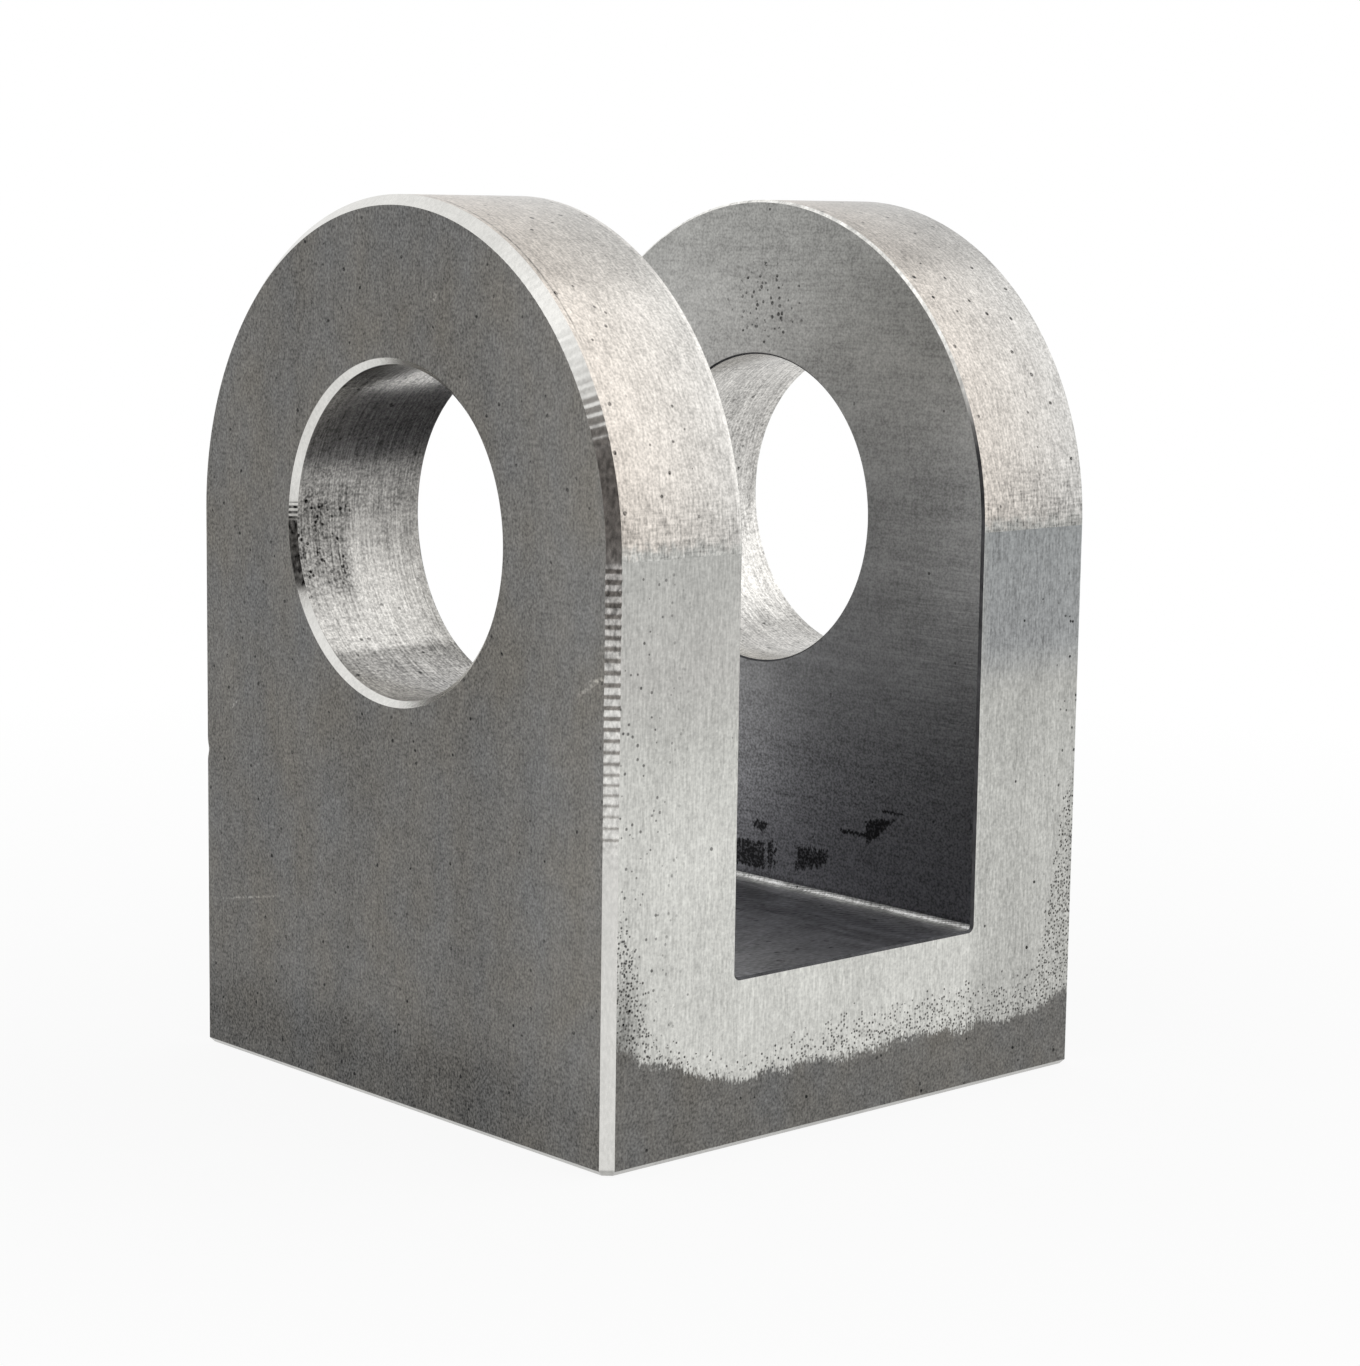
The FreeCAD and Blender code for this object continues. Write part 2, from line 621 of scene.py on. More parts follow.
def mill_skin():
    material, tree = new_finish("mill_skin")
    place = place_in_mm(tree)
    across, up = place.outputs["Y"], place.outputs["Z"]
    # The face is a little lighter towards the front and darker at its foot
    lighter_front = zone(tree, (across, -9, -21))
    dark_foot = zone(tree, (up, 9, 3))
    outside = zone(tree, (place.outputs["X"], -20, -25))
    marks = [
        # from, to, width
        ((23.9, 12.3), (13.7, 14.2), 0.13),
        ((21.4, 28.4), (20.2, 29.2), 0.2),
        ((-21.2, 34.4), (-25.2, 36.8), 0.26),
        ((-22.6, 35.9), (-24.9, 36.2), 0.16),
        ((-5.0, 62.0), (-5.3, 62.7), 0.24),
    ]
    scratches = layered(tree, [(stroke(tree, across, up, *mark), 1.0) for mark in marks], 0.0)
    broken = zone(tree, (grain(tree, (0.3, 0.3, 0.3), detail=3), -0.2, 0.3))
    layers = [(lighter_front, 0.26), (dark_foot, -0.36), (scratches, outside, broken, 1.1)]
    level = layered(tree, layers, skin_level(tree))
    shaded = add(tree, "VectorMath", scaled_by, {"Vector": skin_colour(tree), "Scale": level})
    grit = grain(tree, (finest, finest, 0.24), detail=2)
    metal(material, shaded, 0.5, grit, 0.014, metallic=0.6)
    return material


skin_finish = mill_skin()

# %% [markdown]
# ## Where the belt left the skin
# The flanks have been run against a linishing belt. It didn't reach the foot, where a band of the
# mill skin is left, nor the front corner low down. Just above the band the belt touched only the
# high spots, so its edge breaks up into specks, fewer and fewer. These sit in cells of 0.28 mm,
# about as fine as can be seen.

# %% Left skin
speck_cells = 0.28


def left_skin(tree, place):
    # 1 where the skin still stands: first the solid band, then the single specks above it
    across, up = place.outputs["X"], place.outputs["Z"]
    corner = add(tree, "MapRange", inputs={"Value": across, "From Min": -12.7, "From Max": -21.7})
    strip = zone(tree, (across, -21.5, -25.0))
    far_corner = zone(tree, (across, 21.0, 24.5))
    edge = layered(tree, [(corner, 3.0), (strip, 1.4), (far_corner, 1.3)], 5.2)
    below = add(tree, "Math", {"operation": "SUBTRACT"}, {0: edge, 1: up})
    uneven = grain(tree, (2.0, 2.0, 3.0), detail=3)
    fine = grain(tree, (finest, finest, 0.5), detail=3)
    ragged = layered(tree, [(uneven, 0.8), (fine, 1.1)], below)
    solid = zone(tree, (ragged, -0.35, 0.35))

    near_edge = zone(tree, (across, -20.0, -24.4))
    centre = zone(tree, (across, -14, 2))
    far_edge = zone(tree, (across, 20.0, 24.5))
    reaches = [(uneven, 1.6), (near_edge, 9.0), (far_edge, 15.6), (centre, 1.9)]
    limits = {"From Min": -1.9, "From Max": 1.1, "To Min": 0.0, "To Max": 0.85}
    share = add(tree, "MapRange", inputs={"Value": layered(tree, reaches, below), **limits})
    cells = add(tree, "TexCoord").outputs["Object"]
    cell = add(tree, "TexVoronoi", inputs={"Vector": cells, "Scale": 1 / (speck_cells * mm)})
    draws = add(tree, "SeparateColor", inputs={"Color": cell.outputs["Color"]})
    taken = add(tree, "Math", {"operation": "LESS_THAN"}, {0: draws.outputs["Red"], 1: share})
    size = add(tree, "MapRange", inputs={"Value": draws.outputs["Green"], "To Min": 0.35, "To Max": 0.8})
    near = zone(tree, (cell.outputs["Distance"], size, 0.2))
    return solid, add(tree, "Math", times, {0: taken, 1: near})


# %% [markdown]
# ## Belt-ground flanks
# The belt leaves bright steel with fine streaks along the bar, a little bluer on the upper part of
# the far ear, and smoky along the near edge low down. The steel is painted lighter at the foot and
# darker towards the bore, a painted reflection of the white sheet. Pits crowd at the near corner
# and along the far rim. The grit of the belt is finer than a tenth of a millimetre, and its streaks
# are drawn 0.2 to 0.5 mm wide. The skin that is left is mixed in last, with its own colour and its
# own duller shine.

# %% Belt-ground flanks
def colour_along(tree, value, stops):
    # A colour that changes along a face, given as hex values at places in millimetres
    first, last = stops[0][0], stops[-1][0]
    share = add(tree, "MapRange", inputs={"Value": value, "From Min": first, "From Max": last})
    colours = add(tree, "ValToRGB", inputs={"Fac": share})
    elements = colours.color_ramp.elements
    for number, (place, text) in enumerate(stops):
        position = (place - first) / (last - first)
        element = elements[number] if number < 2 else elements.new(position)
        element.position = position
        element.color = hex_colour(text)
    return colours


def flank_steel(tree, place, threads, specks):
    across, up = place.outputs["X"], place.outputs["Z"]
    # Lighter at the foot and darker towards the bore: a painted reflection of the white sheet
    stops = [(0, "#D3D3CE"), (23, "#D5D5D0"), (30, "#CDCDC8"), (36, "#BFBEBA"), (44.5, "#B9B9B5")]
    streaks = grain(tree, (0.5, 0.5, 6.0), detail=3)
    fine = grain(tree, (0.22, 0.22, 0.22), detail=2)
    clouds = grain(tree, (5, 5, 9), detail=3)
    far_ear = zone(tree, (across, 12.0, 14.0))
    bluer = zone(tree, (across, 12.0, 14.0), (up, 31.5, 36.0))
    smoky = zone(tree, (across, -21.3, -24.0), (up, 18.0, 9.0))
    layers = [
        (streaks, 0.13),
        (threads, 0.32),
        (fine, 0.26),
        (clouds, 0.14),
        (specks, -0.65),
        (far_ear, -0.2),
        (bluer, -0.13),
        (smoky, -0.55),
    ]
    plain, blue = hex_colour("#FFFFFF"), hex_colour("#F5F9FF")
    cool = add(tree, "Mix", {"data_type": "RGBA"}, {"Factor": bluer, "A": plain, "B": blue})
    steel = add(tree, "VectorMath", times, {0: colour_along(tree, up, stops), 1: cool})
    return add(tree, "VectorMath", scaled_by, {"Vector": steel, "Scale": layered(tree, layers)})


def belt_ground_flank():
    material, tree = new_finish("belt_ground_flank")
    place = place_in_mm(tree)
    across, up = place.outputs["X"], place.outputs["Z"]
    threads = grain(tree, (finest, finest, 1.0), detail=2)
    near_corner = zone(tree, (across, -16.5, -22.0))
    far_rim = zone(tree, (across, 20.0, 24.0), (up, 44.0, 36.0))
    specks = pits(tree, 1.6, 0.17, 0.3)
    for where, crowd in ((near_corner, (0.62, 0.14, 0.9)), (far_rim, (0.66, 0.14, 0.7))):
        crowded = add(tree, "Math", times, {0: where, 1: pits(tree, *crowd)})
        specks = add(tree, "Math", {"operation": "MAXIMUM"}, {0: specks, 1: crowded})

    solid, speck = left_skin(tree, place)
    left = add(tree, "Math", {"operation": "MAXIMUM"}, {0: solid, 1: speck})
    alone = add(tree, "Math", {"operation": "SUBTRACT"}, {0: 1.0, 1: solid})
    skin = add(tree, "VectorMath", scaled_by, {"Vector": skin_colour(tree), "Scale": skin_level(tree)})
    darker = layered(tree, [(speck, alone, -0.6)])
    skin = add(tree, "VectorMath", scaled_by, {"Vector": skin, "Scale": darker})
    ground = flank_steel(tree, place, threads, specks)
    colour = add(tree, "Mix", {"data_type": "RGBA"}, {"Factor": left, "A": ground, "B": skin})
    shine = add(tree, "MapRange", inputs={"Value": left, "To Min": 1.0, "To Max": 0.6})
    rough = add(tree, "MapRange", inputs={"Value": left, "To Min": 0.36, "To Max": 0.5})
    relief = layered(tree, [(threads, 0.5), (left, 0.5), (specks, -1.0)], 0.0)
    metal(material, colour, rough, relief, 0.012, metallic=shine, grooves=0.6, across=(1, 0, 0))
    return material


flank_finish = belt_ground_flank()

# %% [markdown]
# ## Ground crown
# The round ends were finished finer, across the bar, with a light crosshatch and short dashes where
# the belt came over the shoulder. The sheen is warm and bright, and it ends sharply where the crown
# turns away from the light, because the grooves run round the crown and blur it only sideways. At
# its foot the crown takes on the colour of the flank. A scribed line near the outer edge, on top,
# finishes it. A light line along the slot edge is a painted highlight, and the top of the crown is
# painted a little darker, a painted dark reflection. Its threads, too, are drawn 0.2 mm wide, or
# they wouldn't show.

# %% Ground crown
def ground_crown():
    material, tree = new_finish("ground_crown")
    place = place_in_mm(tree)
    across, up = place.outputs["X"], place.outputs["Z"]
    fine = grain(tree, (finest, finest, 0.22), detail=1)
    mottle = grain(tree, (0.7, 0.7, 0.8), detail=3)
    clouds = grain(tree, (4, 4, 5), detail=3)
    threads = grain(tree, (0.22, 1.2, 1.2), detail=2)
    cross = grain(tree, (1.6, 0.22, 0.22), detail=2)
    dashes = grain(tree, (finest, 0.8, 0.8), detail=2)
    specks = pits(tree, 1.1, 0.2, 0.45)
    shoulder = zone(tree, (up, 52, 46))
    far_ear = zone(tree, (across, -5, 5))
    merging = zone(tree, (layered(tree, [(mottle, 1.0)], up), 45.8, 44.5))
    scribed = zone(tree, (across, -24.26, -24.2), (across, -24.04, -24.1), (up, 58.0, 62.0))
    # A painted highlight along the slot edge of the crown
    painted_edge_highlight = zone(tree, (across, -13.45, -13.35), (across, -12.9, -13.0))
    layers = [
        (scribed, -0.4),
        (painted_edge_highlight, 0.28),
        (fine, 0.42),
        (mottle, 0.14),
        (clouds, 0.16),
        (threads, 0.34),
        (cross, shoulder, 0.4),
        (dashes, shoulder, 0.5),
        (specks, -0.7),
        (far_ear, -0.09),
        (merging, far_ear, -0.11),
        # The top of the crown is painted a little darker, a painted dark reflection
        (zone(tree, (up, 61.0, 66.0)), -0.06),
    ]
    stops = [(-25.4, "#CDC5BC"), (-13, "#C5C3BF"), (13, "#C9C2BA"), (25.4, "#C3C2BF")]
    steel = {"Factor": merging, "A": colour_along(tree, across, stops), "B": hex_colour("#B9B9B5")}
    steel = add(tree, "Mix", {"data_type": "RGBA"}, steel)
    shaded = add(tree, "VectorMath", scaled_by, {"Vector": steel, "Scale": layered(tree, layers)})
    relief = layered(tree, [(mottle, 0.6), (threads, 0.4), (specks, -1.0)], 0.0)
    metal(material, shaded, 0.3, relief, 0.006, grooves=0.8, across=(1, 0, 0))
    return material


crown_finish = ground_crown()

# %% [markdown]
# ## Stains
# Two more kinds of mark are needed in the slot. A blot is a round stain whose edge a coarse grain
# makes uneven. A smear is oil that has been wiped over the steel and has dried: it has straight
# sides, a lower and an upper edge that may slope, and all of them are streaky.

# %% Stains
def blot(tree, across, up, centre, radii):
    spot = add(tree, "CombineXYZ", inputs={"X": across, "Y": up})
    offset = add(tree, "VectorMath", {"operation": "SUBTRACT"}, {0: spot, 1: (*centre, 0)})
    shrunk = add(tree, "VectorMath", {"operation": "DIVIDE"}, {0: offset, 1: (*radii, 1)})
    away = add(tree, "VectorMath", {"operation": "LENGTH"}, {0: shrunk}).outputs["Value"]
    uneven = grain(tree, (0.7, 0.7, 0.5), detail=3)
    return zone(tree, (layered(tree, [(uneven, 1.0)], away), 1.15, 0.75))


def smear(tree, across, up, sides, levels, slopes=(0.0, 0.0), ragged=0.5):
    (left, right), (low, high) = sides, levels
    streaks = grain(tree, (0.3, 0.3, 1.4), detail=3)
    nicks = grain(tree, (0.3, 0.3, 0.4), detail=2)
    aside = layered(tree, [(nicks, ragged)], across)
    over_low = layered(tree, [(streaks, ragged), (across, -slopes[0])], up)
    over_high = layered(tree, [(streaks, ragged), (across, -slopes[1])], up)
    return zone(
        tree,
        (aside, left - 0.15, left),
        (aside, right + 0.15, right),
        (over_low, low - 0.1, low + 0.1),
        (over_high, high + 0.1, high - 0.1),
    )


# %% [markdown]
# ## Slot walls
# The side of the cutter leaves fine level lines on the slot's walls. They are painted darker
# towards the floor, painted shade in the recess, with a few black smears low on the far wall and
# one rough spot high up, full of pits, perhaps where a chip was dragged along. The lines are drawn
# 0.22 mm apart, a few times coarser than the cutter's own.

# %% Slot walls
def milled_wall():
    material, tree = new_finish("milled_slot_wall")
    place = place_in_mm(tree)
    along, up = place.outputs["Y"], place.outputs["Z"]
    # Darker towards the floor: painted shade in the slot
    stops = [(13.2, "#5E5E61"), (13.8, "#838387"), (18, "#87878A"), (28, "#8D8D8E")]
    stops += [(38, "#989898"), (48, "#A0A09F"), (57, "#AAA9A6"), (70, "#9F9F9C")]
    lines = grain(tree, (3, 3, 0.22), detail=2)
    upright = grain(tree, (0.25, 0.25, 1.5), detail=2)
    passes = grain(tree, (20, 20, 0.9), detail=2)
    fine = grain(tree, (finest, 0.22, finest), detail=1)
    mottle = grain(tree, (0.7, 0.8, 0.6), detail=3)
    clouds = grain(tree, (5, 7, 4), detail=3)
    specks = pits(tree, 1.6, 0.17, 0.3)
    far_wall = zone(tree, (place.outputs["X"], 0, 1))
    rough_spot = blot(tree, along, up, (-0.8, 61.5), (3.8, 2.8))
    pitted = add(tree, "Math", times, {0: rough_spot, 1: pits(tree, 0.5, 0.19, 0.95)})
    pitted = add(tree, "Math", times, {0: pitted, 1: far_wall})
    oil = [
        smear(tree, along, up, (-1.6, 3.0), (14.0, 16.2)),
        smear(tree, along, up, (-2.9, -2.1), (14.4, 16.4), ragged=1.2),
        smear(tree, along, up, (-9.1, -5.6), (12.5, 16.6), (-0.35, 0.0), ragged=0.8),
        smear(tree, along, up, (-16.9, -13.6), (7.0, 17.2), (-0.8, -0.2), ragged=0.4),
        smear(tree, along, up, (-13.6, -10.7), (18.55, 18.85), ragged=0.3),
        smear(tree, along, up, (-17.5, -15.4), (20.9, 21.1), ragged=0.3),
        smear(tree, along, up, (-1.7, -0.4), (17.3, 18.0)),
    ]
    smeared = layered(tree, [(patch, 1.0) for patch in oil], 0.0)
    layers = [
        (lines, 0.16),
        (upright, 0.08),
        (passes, 0.14),
        (fine, 0.42),
        (fine, zone(tree, (up, 34, 20)), 0.45),
        (mottle, 0.18),
        (clouds, 0.2),
        (specks, -0.55),
        (pitted, -0.72),
        (smeared, far_wall, -0.85),
    ]
    level = add(tree, "Math", {"operation": "MAXIMUM"}, {0: layered(tree, layers), 1: 0.1})
    steel = colour_along(tree, up, stops)
    shaded = add(tree, "VectorMath", scaled_by, {"Vector": steel, "Scale": level})
    relief = layered(tree, [(lines, 0.7), (specks, -1.0), (pitted, -0.7)], 0.0)
    metal(material, shaded, 0.36, relief, 0.01, grooves=0.5, across=(0, 0, 1))
    return material


wall_finish = milled_wall()

# %% [markdown]
# ## Slot floor
# The end of the cutter sweeps the floor in arcs as wide as the slot, forwards at its leading edge
# and, fainter, backwards at its trailing one. They show as scallops by the far wall. Elsewhere
# dried oil, in long trails and clouds, hides most of them. The arcs are drawn 0.9 mm apart, several
# times the real feed, or they wouldn't show.

# %% Slot floor
arc_pitch = 0.9


def milled_floor():
    material, tree = new_finish("milled_slot_floor")
    place = place_in_mm(tree)
    across, along = place.outputs["X"], place.outputs["Y"]
    squared = add(tree, "Math", times, {0: across, 1: across})
    rest = add(tree, "Math", {"operation": "SUBTRACT"}, {0: (half_slot / mm) ** 2, 1: squared})
    rest = add(tree, "Math", {"operation": "MAXIMUM"}, {0: rest, 1: 0.0})
    sagitta = add(tree, "Math", {"operation": "SQRT"}, {0: rest})
    wander = grain(tree, (4, 4, 4))
    arcs = []
    for way in (1, -1):
        on_arc = layered(tree, [(sagitta, way), (wander, 1.2)], along)
        turn = add(tree, "Math", times, {0: on_arc, 1: 2 * math.pi / arc_pitch})
        arcs.append(add(tree, "Math", {"operation": "SINE"}, {0: turn}))
    patchy = zone(tree, (grain(tree, (3, 2, 3), detail=2), -0.4, 0.5))
    forward = add(tree, "Math", times, {0: arcs[0], 1: patchy})
    backward = arcs[1]
    clouds = grain(tree, (5, 2.0, 4), detail=4, warp=0.6)
    fine = grain(tree, (0.6, 0.22, 0.3), detail=2)
    trails = grain(tree, (1.3, 9.0, 3.0), detail=3, warp=0.4)
    layers = [
        (forward, 0.1),
        (backward, 0.05),
        (backward, zone(tree, (across, 4.0, 9.0)), 0.28),
        (trails, zone(tree, (across, -2.0, 6.0)), 0.9),
        (clouds, 0.4),
        (fine, 0.8),
        (pits(tree, 1.1, 0.26, 0.4), -0.6),
    ]
    # Lighter by the near wall and darker towards the far wall, painted shade, with a painted highlight on
    # the fillet by the far wall
    stops = [(-12.85, "#ADADB0"), (-8, "#A6A6A8"), (0, "#949498"), (8, "#848489")]
    steel = colour_along(tree, across, stops + [(11.5, "#9A9A9C"), (12.3, "#C8C8C6")])
    shaded = add(tree, "VectorMath", scaled_by, {"Vector": steel, "Scale": layered(tree, layers)})
    relief = layered(tree, [(forward, 0.2), (backward, 0.1), (fine, 0.5)], 0.0)
    metal(material, shaded, 0.4, relief, 0.01)
    return material


floor_finish = milled_floor()

# %% [markdown]
# ## Bored hole
# A boring bar leaves fine rings round the hole. Near the outer mouth, at the height of the axis,
# the steel was torn by the tool and stayed rougher and darker, with crowded pits. Further in, a band
# on the lower side of the near ear is painted lighter, a painted highlight, and above and below that
# band it is painted a little darker, painted shade. The rings are drawn 0.22 mm apart, about twice
# the real feed.

# %% Bored hole
def bored_steel():
    material, tree = new_finish("bored_steel")
    place = place_in_mm(tree)
    depth, up = place.outputs["X"], place.outputs["Z"]
    rings = grain(tree, (0.22, 4, 4), detail=2)
    clouds = grain(tree, (2.5, 4, 4), detail=3)
    streaks = grain(tree, (1.2, 0.4, 0.4), detail=2)
    fine = grain(tree, (finest, 0.22, 0.22), detail=1)
    specks = pits(tree, 1.0, 0.18, 0.45)
    torn = zone(tree, (depth, -19.6, -20.6), (up, 36.5, 40.5), (up, 48, 44))
    pitted = add(tree, "Math", times, {0: torn, 1: pits(tree, 0.55, 0.16, 0.6)})
    # A painted highlight on a band of the bore's lower side
    painted_highlight_band = zone(tree, (up, 34.5, 36.5), (up, 41.5, 39.5), (depth, -20.5, -19.0))
    near_ear = (depth, 0, -1)
    layers = [
        (rings, 0.5),
        (clouds, 0.24),
        (streaks, 0.28),
        (fine, 0.62),
        (painted_highlight_band, 0.16),
        (torn, -0.42),
        (pitted, -0.65),
        (specks, -0.6),
        # Above and below the painted highlight the near ear is painted darker: painted shade
        (zone(tree, near_ear, (up, 44.3, 44.6)), -0.16),
        (zone(tree, near_ear, (up, 34.6, 34.2)), -0.3),
    ]
    steel = hex_colour("#C6C4C0")[:3]
    shaded = add(tree, "VectorMath", scaled_by, {"Vector": steel, "Scale": layered(tree, layers)})
    relief = layered(tree, [(rings, 0.7), (pitted, -1.0), (specks, -1.0)], 0.0)
    metal(material, shaded, 0.27, relief, 0.008, grooves=0.7, across=(1, 0, 0))
    return material


bore_finish = bored_steel()

# %% [markdown]
# ## Bright chamfers
# The chamfers are freshly cut and bright, so they are the smoothest faces. Where the tool chattered
# at the top of the near front corner it also rubbed and left mottled marks between the ridges, and
# the steel there is painted brownish and darker, a painted dark reflection, with some wear below. On
# the mouth of the near hole it burnt one stretch dark, with three dark ticks above it. At the weld
# face the edge is darker.

# %% Bright chamfers
tick_pitch = 0.42


def cut_chamfer():
    material, tree = new_finish("cut_chamfer")
    place = place_in_mm(tree)
    across, along, up = (place.outputs[axis] for axis in "XYZ")
    fine = grain(tree, (0.22, 0.22, 0.5), detail=2)
    clouds = grain(tree, (2, 2, 3), detail=3)
    mottle = grain(tree, (0.3, 0.3, 0.5), detail=3)
    corner = (across, -23.9, -24.4), (along, -20.5, -21.5)
    # Rub marks at the top of the near front corner, where the brownish colour is a painted dark reflection
    rub_and_dark_reflection = zone(tree, *corner, (up, 33.0, 45.0), (up, 55.5, 52.5))
    worn = zone(tree, *corner, (up, 20, 26), (up, 46, 40))

    wave = add(tree, "Math", times, {0: up, 1: 2 * math.pi / tick_pitch})
    wave = add(tree, "Math", {"operation": "SINE"}, {0: wave})
    stretch = zone(tree, (up, 38.6, 39.6), (up, 44.7, 44.3))
    ticks = zone(tree, (wave, -0.4, 0.2), (up, 44.4, 44.6), (up, 46.0, 45.7))
    burnt = add(tree, "Math", {"operation": "MAXIMUM"}, {0: stretch, 1: ticks})
    mouth = zone(tree, (along, 9.0, 10.0), (along, 14.0, 13.6), (across, 0.0, -1.0))
    layers = [
        (fine, 0.12),
        (clouds, 0.08),
        (mottle, rub_and_dark_reflection, 0.9),
        (mottle, worn, 0.55),
        (burnt, mouth, -0.82),
        (mottle, burnt, mouth, 0.4),
        (zone(tree, (up, 0.6, 0.4)), -0.4),
    ]
    # Brownish there: a painted dark reflection
    steel = {"Factor": rub_and_dark_reflection, "A": hex_colour("#DEDDD9"), "B": hex_colour("#A19E9B")}
    steel = add(tree, "Mix", {"data_type": "RGBA"}, steel)
    shaded = add(tree, "VectorMath", scaled_by, {"Vector": steel, "Scale": layered(tree, layers)})
    metal(material, shaded, 0.24, fine, 0.003)
    return material


chamfer_finish = cut_chamfer()

# %% [markdown]
# ## Burred slot edge
# Along the slot the edges have only had their burr rubbed down, which leaves them dark and uneven.
# Over the top of the crown, and towards its two shoulders, the edge is painted as a bright line, a
# painted highlight.

# %% Burred slot edge
def burred_edge():
    material, tree = new_finish("burred_slot_edge")
    place = place_in_mm(tree)
    up = place.outputs["Z"]
    fine = grain(tree, (0.22, 0.22, 0.5), detail=2)
    uneven = grain(tree, (1.2, 1.2, 2.0), detail=3)
    off_centre = add(tree, "Math", {"operation": "ABSOLUTE"}, {0: place.outputs["Y"]})
    shoulders = zone(tree, (up, 50.0, 58.0), (off_centre, 15.0, 16.0))
    top = zone(tree, (up, 58.0, 60.0))
    # Where the edge is painted bright, a painted highlight
    painted_bright_line = add(tree, "Math", {"operation": "MAXIMUM"}, {0: shoulders, 1: top})
    colour = {"Factor": painted_bright_line, "A": hex_colour("#4E4E50"), "B": hex_colour("#EAE9E5")}
    colour = add(tree, "Mix", {"data_type": "RGBA"}, colour)
    level = layered(tree, [(fine, 0.4), (uneven, 0.6)])
    shaded = add(tree, "VectorMath", scaled_by, {"Vector": colour, "Scale": level})
    metal(material, shaded, 0.5, fine, 0.01)
    return material


burr_finish = burred_edge()

# %% [markdown]
# ## Sawn weld face
# The foot is hidden once it is welded on, so it was never machined and keeps the marks of the saw:
# coarse lines 0.3 mm apart across the bar, at right angles to the slot.

# %% Sawn weld face
def sawn_foot():
    material, tree = new_finish("sawn_weld_face")
    lines = grain(tree, (16, 0.3, 1), detail=3)
    clouds = grain(tree, (6, 6, 6), detail=3)
    level = layered(tree, [(lines, 0.3), (clouds, 0.2)])
    steel = hex_colour("#A09F9B")[:3]
    shaded = add(tree, "VectorMath", scaled_by, {"Vector": steel, "Scale": level})
    metal(material, shaded, 0.42, lines, 0.03, grooves=0.4, across=(0, 1, 0))
    return material


foot_finish = sawn_foot()

# %% [markdown]
# ## Which face has which finish
# The finishes meet at the edges of the cuts, so each face of the mesh gets its material by where it
# lies and which way it looks.

# %% Give out the finishes
finishes = [
    skin_finish,
    flank_finish,
    crown_finish,
    wall_finish,
    floor_finish,
    bore_finish,
    chamfer_finish,
    burr_finish,
    foot_finish,
]
SKIN, FLANK, CROWN, WALL, FLOOR, BORE, CHAMFER, BURR, FOOT = range(len(finishes))
for material in finishes:
    clevis.data.materials.append(material)


# How far a normal points along an axis, on a face that looks straight, hardly or not at all that way
straight, hardly, not_at_all = 0.999, 0.1, 0.01


def finish_of(face):
    middle, facing = face.center, face.normal
    looks_along_x, looks_along_y = abs(facing.x) > straight, abs(facing.y) > straight
    in_slot = abs(middle.x) < half_slot + 2 * slot_edge_break
    from_bore_axis = math.hypot(middle.y, middle.z - bore_height)
    if from_bore_axis < bore_radius + hair and abs(facing.x) < hardly:
        return BORE
    if looks_along_x:
        return WALL if in_slot else SKIN
    if middle.z < hair:
        return FOOT
    if in_slot and middle.z < base_thickness + slot_floor_radius and abs(facing.y) < hardly:
        return FLOOR
    if looks_along_y and middle.z < bore_height:
        return FLANK
    if abs(facing.x) < not_at_all and middle.z > bore_height:
        return CROWN
    if in_slot and middle.z > base_thickness - 2 * slot_edge_break:
        return BURR
    return CHAMFER


areas = [0] * len(finishes)
for face in clevis.data.polygons:
    face.material_index = finish_of(face)
    areas[face.material_index] += face.area
for material, area in zip(finishes, areas):
    print("%-20s %7.1f mm2" % (material.name, area / mm**2))

# %% [markdown]
# ## Into the frame
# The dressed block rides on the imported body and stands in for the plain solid, which stays for the
# physics.

# %% Into the frame
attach(clevis, "root")
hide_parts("clevis")
print(clevis.name, "stands in with", len(clevis.data.polygons), "faces")

# %% [markdown]
# ## White sheet and white room
# The part stands on a white sheet in an evenly white room. Both are plain white to the camera and
# in the steel, but light the part less than that. Close to the part the sheet still takes its
# shadow, and further out it fades into the room, so that no horizon shows.

# %% White sheet and room
def seen_directly(tree):
    rays = add(tree, "LightPath").outputs
    either = {"operation": "MAXIMUM"}
    seen = add(tree, "Math", either, {0: rays["Is Camera Ray"], 1: rays["Is Glossy Ray"]})
    return add(tree, "Math", either, {0: seen, 1: rays["Is Transmission Ray"]})


white = hex_colour("#FFFFFF")
sheet_size = 4
shadow_full, shadow_gone = 0.05, 0.2  # metres out from the part
near_glow = 0.9  # share of the sheet that is its own white close by, where the rest takes the shadow
room_level = 0.62  # how bright the room is as a light

bpy.ops.object.select_all(action="DESELECT")
bpy.ops.mesh.primitive_plane_add(size=sheet_size, location=(0, 0, 0))
sheet = bpy.context.object
sheet.name = "white_sheet"

paper, tree = new_finish("white_paper")
place = add(tree, "TexCoord").outputs["Object"]
distance = add(tree, "VectorMath", {"operation": "LENGTH"}, {0: place}).outputs["Value"]
limits = {"From Min": shadow_full, "From Max": shadow_gone, "To Min": near_glow, "To Max": 1.0}
faded = add(tree, "MapRange", inputs={"Value": distance, **limits})
share = add(tree, "Math", times, {0: seen_directly(tree), 1: faded})
matte = add(tree, "BsdfDiffuse", inputs={"Color": hex_colour("#F6F6F6")})
glow = add(tree, "Emission", inputs={"Color": white, "Strength": 1.0})
both = add(tree, "MixShader", inputs={0: share, 1: matte, 2: glow})
add(tree, "OutputMaterial", inputs={"Surface": both})
sheet.data.materials.append(paper)

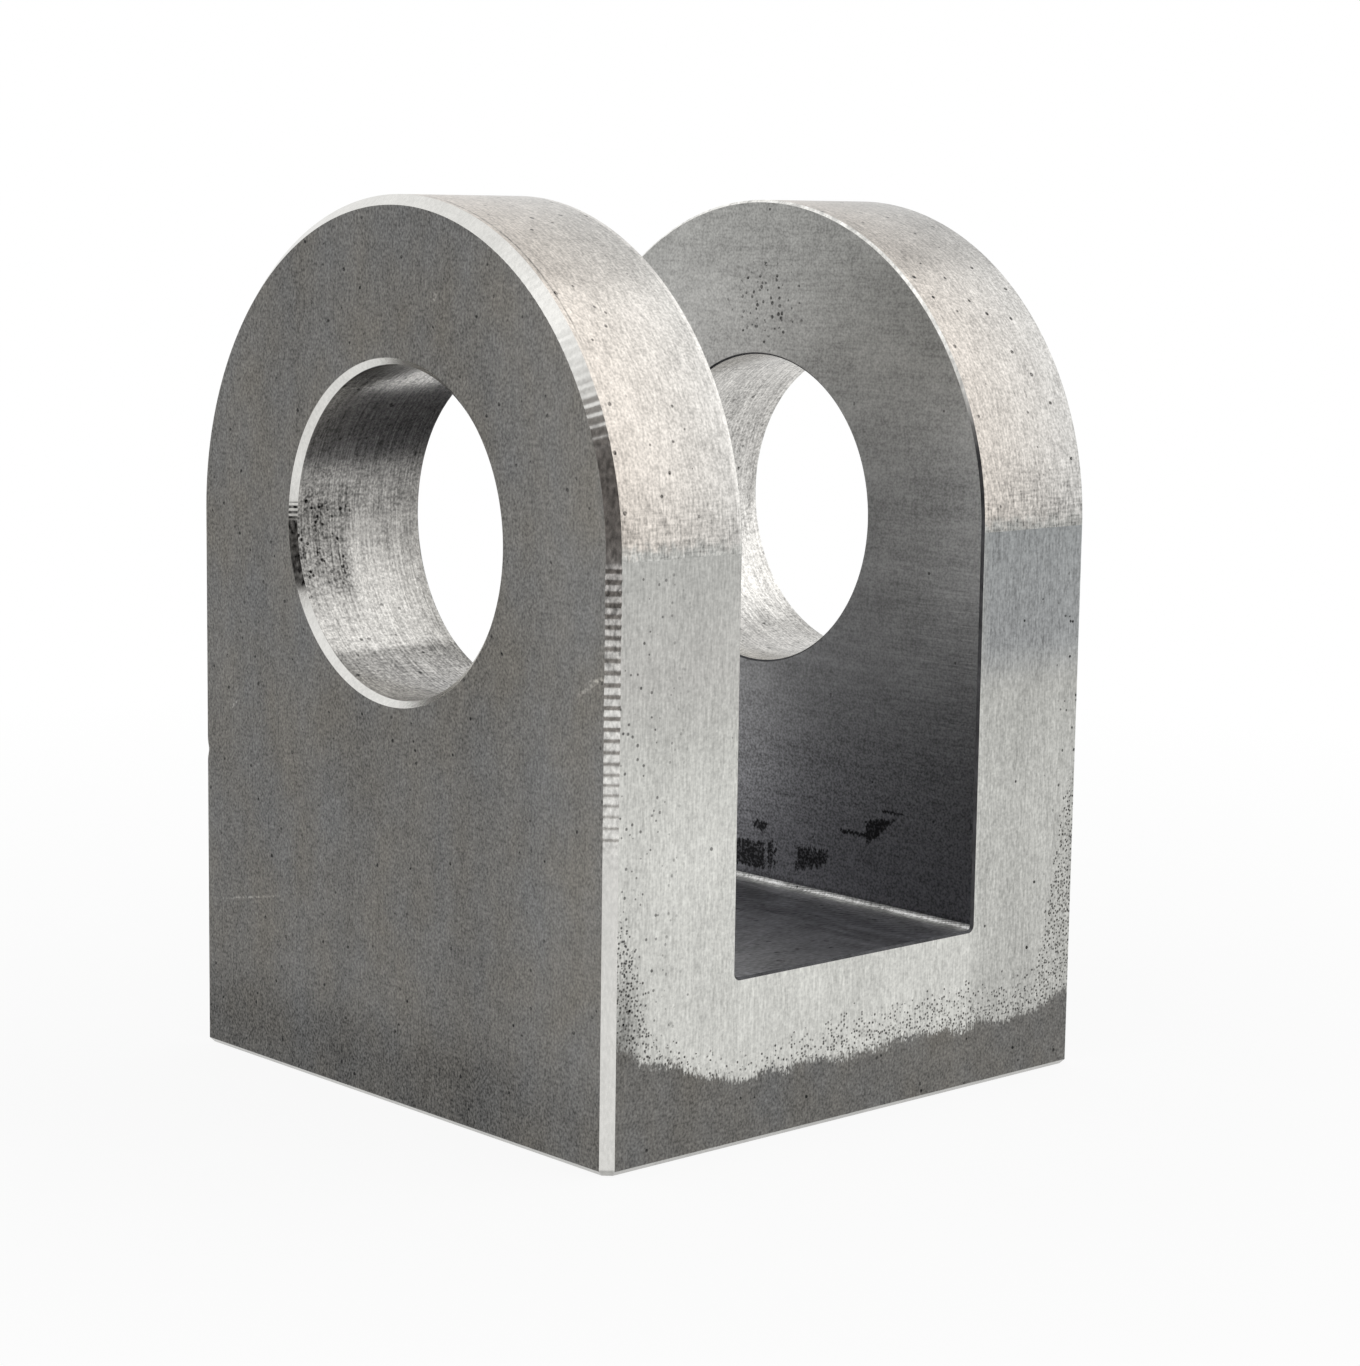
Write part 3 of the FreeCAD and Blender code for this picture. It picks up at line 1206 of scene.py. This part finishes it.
room = bpy.data.worlds.new("white_room")
room.use_nodes = True
bpy.context.scene.world = room
tree = room.node_tree
tree.nodes.clear()
limits = {"To Min": room_level, "To Max": 1.0}
strength = add(tree, "MapRange", inputs={"Value": seen_directly(tree), **limits})
air = add(tree, "Background", inputs={"Color": white, "Strength": strength})
add(tree, "OutputWorld", inputs={"Surface": air})
print("sheet of", sheet_size, "m in a room that lights at", room_level)

# %% [markdown]
# ## Lamps
# Steel shows its shape by what it reflects, so each lamp is placed for a reflection. A wide soft
# one at the right fills the front half of the crown and the lower half of the bores, and its upper
# edge draws the line across the crown. A second one, high above the camera, lights the chamfer over
# the crown. Each is only a little brighter than the white room, and its power follows from that
# brightness and its area.

# %% Lamps
aim = Vector((0, 0, 50 * mm))


def soft_lamp(name, reach, along, distance, length, width, brightness):
    # The lamp stands in the direction of reach, and its length runs in the direction of along
    backwards = Vector(reach).normalized()
    lengthwise = Vector(along)
    lengthwise = (lengthwise - lengthwise.dot(backwards) * backwards).normalized()
    sideways = backwards.cross(lengthwise)
    bpy.ops.object.light_add(type="AREA", location=aim + distance * backwards)
    lamp = bpy.context.object
    lamp.name = name
    lamp.data.shape = "RECTANGLE"
    lamp.data.size = length
    lamp.data.size_y = width
    lamp.data.energy = brightness * math.pi * length * width
    lamp.rotation_euler = Matrix((lengthwise, sideways, backwards)).transposed().to_euler()
    print("%s: %.2f W" % (name, lamp.data.energy))


soft_lamp(
    "right_softbox",
    reach=(0.66, -0.46, 0.60),
    along=(0, 0.76, 0.65),
    distance=1.0,
    length=1.26,
    width=1.2,
    brightness=0.42,
)
soft_lamp(
    "top_softbox",
    reach=(-0.28, -0.29, 0.91),
    along=(1, -1, 0),
    distance=0.6,
    length=0.50,
    width=0.34,
    brightness=0.35,
)

# %% [markdown]
# ## Dark card
# The ridges of the chatter would vanish in an all-white room. A dark card stands behind the camera,
# as it does beside a photographed tool. Only reflections see it: it takes no light from the part,
# and no view of the scene shows it.

# %% Dark card
card_distance = 0.28
card_width, card_height = 0.26, 0.22
card_azimuth = math.radians(228)
beside = Vector((math.cos(card_azimuth), math.sin(card_azimuth), 0))

bpy.ops.object.select_all(action="DESELECT")
bpy.ops.mesh.primitive_plane_add(
    size=1,
    location=card_distance * beside + Vector((0, 0, card_height / 2)),
    rotation=(math.radians(90), 0, card_azimuth + math.radians(90)),
)
card = bpy.context.object
card.name = "dark_card"
card.scale = (card_width, card_height, 1)
card.visible_camera = False
card.visible_diffuse = False
card.visible_shadow = False
card.visible_transmission = False

board, tree = new_finish("dark_board")
dim = add(tree, "Emission", inputs={"Color": hex_colour("#8A8683"), "Strength": 1.0})
add(tree, "OutputMaterial", inputs={"Surface": dim})
card.data.materials.append(board)
print("card of %.2f by %.2f m, %.2f m away" % (card_width, card_height, card_distance))

# %% [markdown]
# ## Camera
# The camera stands close by and a little under the top of the crown, with the front corner left of
# the middle. It is aimed at a point in the part and then rolled a little about its own axis. Its
# focal length was found in pixels of the photo, and the photo is taller than wide, so its height
# stands for the sensor. The view transform is the plain one, which shows a colour as it is written.

# %% Camera
camera_place = Vector((-174.264, -194.472, 69.441)) * mm
camera_aim = Vector((2.398, -2.203, 30.845)) * mm
camera_roll = math.radians(0.849)
sensor = 36.0
focal_pixels = 3242.6
image_height = 1366

camera_data = bpy.data.cameras.new("camera")
camera = bpy.data.objects.new("camera", camera_data)
bpy.context.scene.collection.objects.link(camera)
bpy.context.scene.camera = camera
camera_data.sensor_width = sensor
camera_data.lens = focal_pixels / image_height * sensor
camera_data.clip_start = 0.01
camera_data.clip_end = 20
camera.location = camera_place
turn = (camera_aim - camera_place).to_track_quat("-Z", "Y")
roll = Quaternion((0, 0, 1), camera_roll)
camera.rotation_euler = (turn @ roll).to_euler()
bpy.context.scene.view_settings.view_transform = "Standard"
print("camera with a %.1f mm lens" % camera_data.lens)
